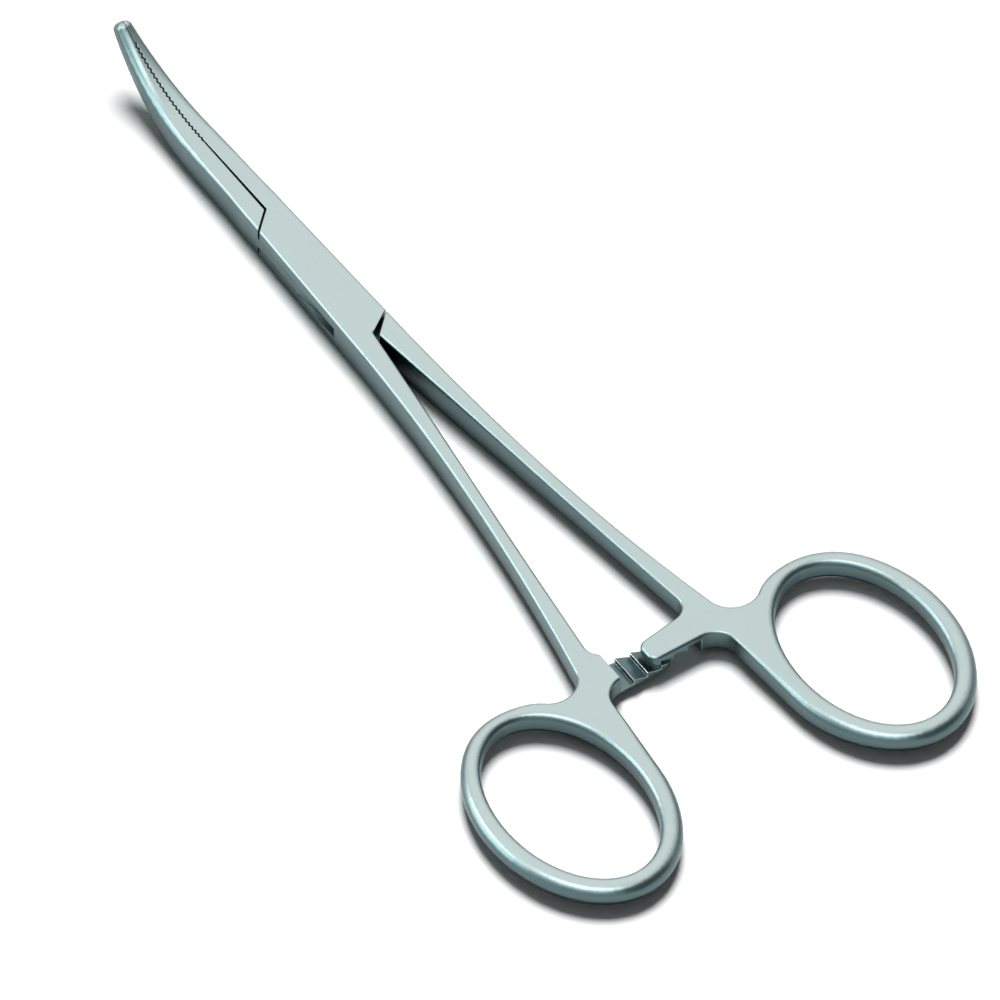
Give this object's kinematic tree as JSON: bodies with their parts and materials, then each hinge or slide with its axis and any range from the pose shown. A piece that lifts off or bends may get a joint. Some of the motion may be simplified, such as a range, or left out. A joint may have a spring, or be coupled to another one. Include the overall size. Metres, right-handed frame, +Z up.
{
  "type": "curved hemostat forceps",
  "caption": "Locking forceps with curved, cross-grooved jaws, a box joint on a flush pin, bowed shanks, finger rings and a ratchet between the handles.",
  "frame": {"origin": "on the pivot's axis, at the underside of the box joint", "axes": "+X from the pivot to the jaw tips, +Y towards the box half's finger ring, +Z up along the pivot's axis, the way the jaws curve"},
  "size_m": [0.1433, 0.066, 0.0099],
  "materials": {
    "satin_steel": "satin",
    "pin_steel": "satin, ground flush with the cheeks"
  },
  "bodies": {
    "box_body": {"box_half": "satin_steel", "pivot_pin": "pin_steel"},
    "tongue_body": {"tongue_half": "satin_steel"}
  },
  "joints": [
    {"name": "jaw_hinge", "type": "hinge", "parent": "box_body", "child": "tongue_body", "pos_m": [0, 0, 0.00235], "axis": [0, 0, 1], "range_deg": [0, 55]}
  ]
}
